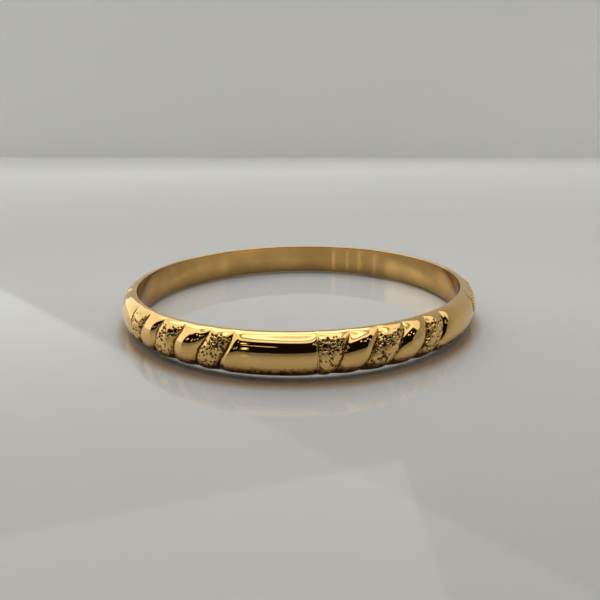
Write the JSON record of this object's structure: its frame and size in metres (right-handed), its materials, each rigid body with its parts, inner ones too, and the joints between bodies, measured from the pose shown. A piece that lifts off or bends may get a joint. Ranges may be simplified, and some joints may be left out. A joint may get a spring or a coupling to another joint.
{
  "type": "bangle bracelet",
  "caption": "Rigid round slip-on bangle, hollow, with leaning pitted and polished lobes between long plain polished panels.",
  "frame": {"origin": "on the bangle's axis, in the plane of its lower rim, which it rests on", "axes": "+Z along the bangle's axis, from the lower rim to the upper rim; -Y towards the middle of the front panel; +X to the right seen from the front"},
  "size_m": [0.0694, 0.0694, 0.0067],
  "materials": {
    "shell_gold": "polished, with pitted nugget lobes",
    "liner_gold": "satin",
    "gold_solder": "dressed flush and polished",
    "tongue_gold": "as sawn"
  },
  "bodies": {
    "root": {"shell_segment_1": "shell_gold", "shell_segment_2": "shell_gold", "shell_segment_3": "shell_gold", "shell_segment_4": "shell_gold", "shell_segment_5": "shell_gold", "shell_segment_6": "shell_gold", "joint_tongue_1": "tongue_gold", "joint_tongue_2": "tongue_gold", "joint_tongue_3": "tongue_gold", "joint_tongue_4": "tongue_gold", "joint_tongue_5": "tongue_gold", "joint_tongue_6": "tongue_gold", "joint_solder_1": "gold_solder", "joint_solder_2": "gold_solder", "joint_solder_3": "gold_solder", "joint_solder_4": "gold_solder", "joint_solder_5": "gold_solder", "joint_solder_6": "gold_solder", "inner_liner": "liner_gold", "liner_solder": "gold_solder", "rim_solder_lower": "gold_solder", "rim_solder_upper": "gold_solder"}
  },
  "joints": []
}
